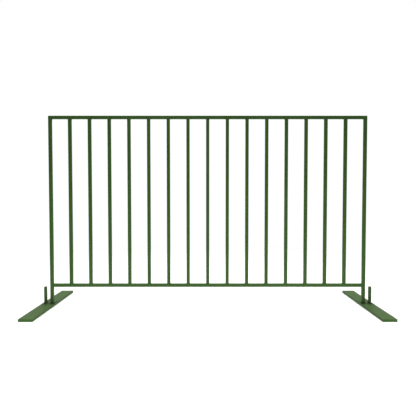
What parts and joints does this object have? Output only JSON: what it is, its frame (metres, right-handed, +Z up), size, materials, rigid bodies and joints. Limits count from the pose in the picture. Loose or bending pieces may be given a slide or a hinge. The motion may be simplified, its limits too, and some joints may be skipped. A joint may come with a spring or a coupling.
{
  "type": "crowd control barrier",
  "caption": "Freestanding pedestrian barrier: welded square-tube panel with upright pickets, lifting off two loose flat plate feet with paired square spigots.",
  "frame": {"origin": "on the ground, under the middle of the panel", "axes": "+X along the panel, +Y towards its back, +Z up"},
  "size_m": [2.104, 0.65, 1.2],
  "materials": {
    "panel_paint": "semi-gloss green powder coat on steel tube",
    "foot_paint": "semi-gloss green powder coat on steel plate, scuffed and a little dusty on top"
  },
  "bodies": {
    "left_foot": {"foot_plate_left": "foot_paint", "inner_spigot_left": "foot_paint", "outer_spigot_left": "foot_paint"},
    "panel": {"post_left": "panel_paint", "post_right": "panel_paint", "top_rail": "panel_paint", "bottom_rail": "panel_paint", "picket_01": "panel_paint", "picket_02": "panel_paint", "picket_03": "panel_paint", "picket_04": "panel_paint", "picket_05": "panel_paint", "picket_06": "panel_paint", "picket_07": "panel_paint", "picket_08": "panel_paint", "picket_09": "panel_paint", "picket_10": "panel_paint", "picket_11": "panel_paint", "picket_12": "panel_paint", "picket_13": "panel_paint", "picket_14": "panel_paint", "picket_15": "panel_paint"},
    "right_foot": {"foot_plate_right": "foot_paint", "inner_spigot_right": "foot_paint", "outer_spigot_right": "foot_paint"}
  },
  "joints": [
    {"name": "panel_lift", "type": "slide", "parent": "left_foot", "child": "panel", "axis": [0, 0, 1], "range_m": [0, 0.15]},
    {"name": "right_foot_drop", "type": "slide", "parent": "panel", "child": "right_foot", "axis": [0, 0, -1], "range_m": [0, 0.15]}
  ],
  "couplings": [
    {"joint": "right_foot_drop", "follows": "panel_lift", "ratio": 1}
  ]
}
